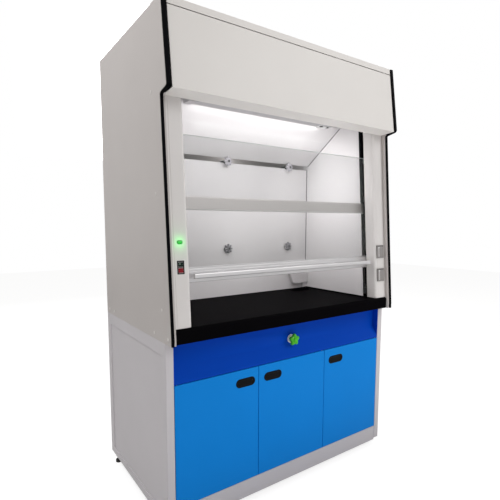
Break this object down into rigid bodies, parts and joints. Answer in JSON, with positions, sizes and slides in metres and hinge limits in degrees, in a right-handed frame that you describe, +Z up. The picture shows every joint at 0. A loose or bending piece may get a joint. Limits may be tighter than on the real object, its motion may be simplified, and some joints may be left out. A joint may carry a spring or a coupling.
{
  "type": "fume hood",
  "caption": "Floor-standing laboratory fume hood with a counterweighted sliding sash, slotted rear baffle, black worktop and a base cabinet with hinged doors.",
  "frame": {"origin": "on the floor, under the middle of the hood's overall box", "axes": "+X to the right when facing the sash, +Y from the front to the back, +Z up"},
  "size_m": [1.504, 0.884, 2.41],
  "materials": {
    "side_paint": "warm grey powder coat, fine orange peel",
    "front_paint": "off-white powder coat, satin",
    "base_paint": "grey powder coat, satin",
    "trim_black": "black satin",
    "door_blue": "light blue laminate, semi-gloss",
    "panel_blue": "dark blue powder coat, satin",
    "pull_black": "black moulded plastic",
    "worktop_black": "black epoxy resin, semi-matt",
    "liner_grey": "light grey laminate, smooth",
    "zinc_steel": "zinc plated",
    "aluminium": "anodised extrusion",
    "clear_glass": "laminated safety glass, polished edges",
    "knob_grey": "moulded plastic",
    "belt_rubber": "toothed rubber belt",
    "weight_iron": "painted iron",
    "knob_green": "moulded plastic",
    "plate_white": "moulded plastic",
    "brass": "machined",
    "lamp_white": "frosted tube cover",
    "light_green": "lit lens",
    "rocker_dark": "moulded plastic",
    "rocker_red": "moulded plastic",
    "socket_grey": "moulded plastic",
    "foot_black": "rubber pad"
  },
  "bodies": {
    "carcass": {"base_sides": "base_paint", "base_back": "base_paint", "base_floor": "base_paint", "base_dividers": "base_paint", "base_shelves": "base_paint", "plinth": "base_paint", "levelling_feet": "foot_black", "service_panel": "panel_blue", "door_pivot_pins": "zinc_steel", "worktop": "worktop_black", "drip_cup": "worktop_black", "hood_sides": "side_paint", "edge_trims": "trim_black", "post_left": "front_paint", "post_right": "front_paint", "fascia": "front_paint", "roof": "front_paint", "exhaust_collar": "zinc_steel", "back_panel": "side_paint", "side_liners": "liner_grey", "lower_baffle": "liner_grey", "upper_baffle": "liner_grey", "ceiling": "liner_grey", "baffle_studs": "pull_black", "lamp_housing": "front_paint", "lamp_tube": "lamp_white", "fixed_glass": "clear_glass", "fixed_glass_rail": "aluminium", "sash_channels": "trim_black", "drive_belts": "belt_rubber", "drive_bearings": "zinc_steel", "side_screws": "side_paint", "valve_plate": "plate_white", "valve_body": "brass", "water_outlet": "liner_grey", "indicator_light": "light_green", "switch_bezel": "pull_black", "socket_bodies": "socket_grey"},
    "sash": {"sash_glass": "clear_glass", "sash_rail": "aluminium", "sash_handle": "aluminium", "sash_arms": "zinc_steel"},
    "counterweights": {"counterweights": "weight_iron"},
    "cross_shaft": {"cross_shaft": "zinc_steel"},
    "idlers": {"idler_pulleys": "knob_grey"},
    "door_left": {"door_left": "door_blue", "pull_left": "pull_black"},
    "door_middle": {"door_middle": "door_blue", "pull_middle": "pull_black"},
    "door_right": {"door_right": "door_blue", "pull_right": "pull_black"},
    "rocker_upper": {"rocker_upper": "rocker_dark"},
    "rocker_lower": {"rocker_lower": "rocker_red"},
    "socket_cover_upper": {"socket_cover_upper": "socket_grey"},
    "socket_cover_lower": {"socket_cover_lower": "socket_grey"},
    "valve_knob": {"valve_knob": "knob_green"},
    "baffle_knob_1": {"baffle_knob_1": "knob_grey"},
    "baffle_knob_2": {"baffle_knob_2": "knob_grey"},
    "baffle_knob_3": {"baffle_knob_3": "knob_grey"},
    "baffle_knob_4": {"baffle_knob_4": "knob_grey"}
  },
  "joints": [
    {"name": "sash_slide", "type": "slide", "parent": "carcass", "child": "sash", "axis": [0, 0.0675, 0.9977], "range_m": [-0.183, 0.33]},
    {"name": "counterweight_slide", "type": "slide", "parent": "carcass", "child": "counterweights", "axis": [0, 0.0675, 0.9977], "range_m": [-0.33, 0.183]},
    {"name": "shaft_spin", "type": "hinge", "parent": "carcass", "child": "cross_shaft", "pos_m": [0, -0.22388, 2.24524], "axis": [1, 0, 0], "range_deg": [-602, 335]},
    {"name": "idler_spin", "type": "hinge", "parent": "carcass", "child": "idlers", "pos_m": [0, -0.30589, 1.03288], "axis": [1, 0, 0], "range_deg": [-602, 335]},
    {"name": "door_left_hinge", "type": "hinge", "parent": "carcass", "child": "door_left", "pos_m": [-0.695, -0.366, 0.422], "axis": [0, 0, -1], "range_deg": [0, 110]},
    {"name": "door_middle_hinge", "type": "hinge", "parent": "carcass", "child": "door_middle", "pos_m": [0.22133, -0.366, 0.422], "axis": [0, 0, 1], "range_deg": [0, 110]},
    {"name": "door_right_hinge", "type": "hinge", "parent": "carcass", "child": "door_right", "pos_m": [0.695, -0.366, 0.422], "axis": [0, 0, 1], "range_deg": [0, 110]},
    {"name": "rocker_upper_pivot", "type": "hinge", "parent": "carcass", "child": "rocker_upper", "pos_m": [-0.68, -0.38778, 1.25963], "axis": [1, 0, 0], "range_deg": [-6, 6]},
    {"name": "rocker_lower_pivot", "type": "hinge", "parent": "carcass", "child": "rocker_lower", "pos_m": [-0.68, -0.38953, 1.23369], "axis": [1, 0, 0], "range_deg": [-6, 6]},
    {"name": "socket_cover_upper_hinge", "type": "hinge", "parent": "carcass", "child": "socket_cover_upper", "pos_m": [0.68, -0.39569, 1.29829], "axis": [-1, 0, 0], "range_deg": [0, 100], "stiffness_Nm_per_rad": 0.02, "springref_deg": -34.38},
    {"name": "socket_cover_lower_hinge", "type": "hinge", "parent": "carcass", "child": "socket_cover_lower", "pos_m": [0.68, -0.40527, 1.15662], "axis": [-1, 0, 0], "range_deg": [0, 100], "stiffness_Nm_per_rad": 0.02, "springref_deg": -34.38},
    {"name": "valve_turn", "type": "hinge", "parent": "carcass", "child": "valve_knob", "pos_m": [0.01, -0.338, 0.812], "axis": [0, 1, 0], "range_deg": [0, 90]},
    {"name": "baffle_knob_1_turn", "type": "hinge", "parent": "carcass", "child": "baffle_knob_1", "pos_m": [-0.057, 0.178, 1.821], "axis": [0, 1, 0], "continuous": true},
    {"name": "baffle_knob_2_turn", "type": "hinge", "parent": "carcass", "child": "baffle_knob_2", "pos_m": [0.445, 0.178, 1.821], "axis": [0, 1, 0], "continuous": true},
    {"name": "baffle_knob_3_turn", "type": "hinge", "parent": "carcass", "child": "baffle_knob_3", "pos_m": [-0.043, 0.197, 1.28], "axis": [0, 1, 0], "continuous": true},
    {"name": "baffle_knob_4_turn", "type": "hinge", "parent": "carcass", "child": "baffle_knob_4", "pos_m": [0.459, 0.197, 1.28], "axis": [0, 1, 0], "continuous": true}
  ],
  "couplings": [
    {"joint": "counterweight_slide", "follows": "sash_slide", "ratio": -1},
    {"joint": "shaft_spin", "follows": "sash_slide", "rad_per_m": -31.746},
    {"joint": "idler_spin", "follows": "sash_slide", "rad_per_m": -31.746}
  ]
}
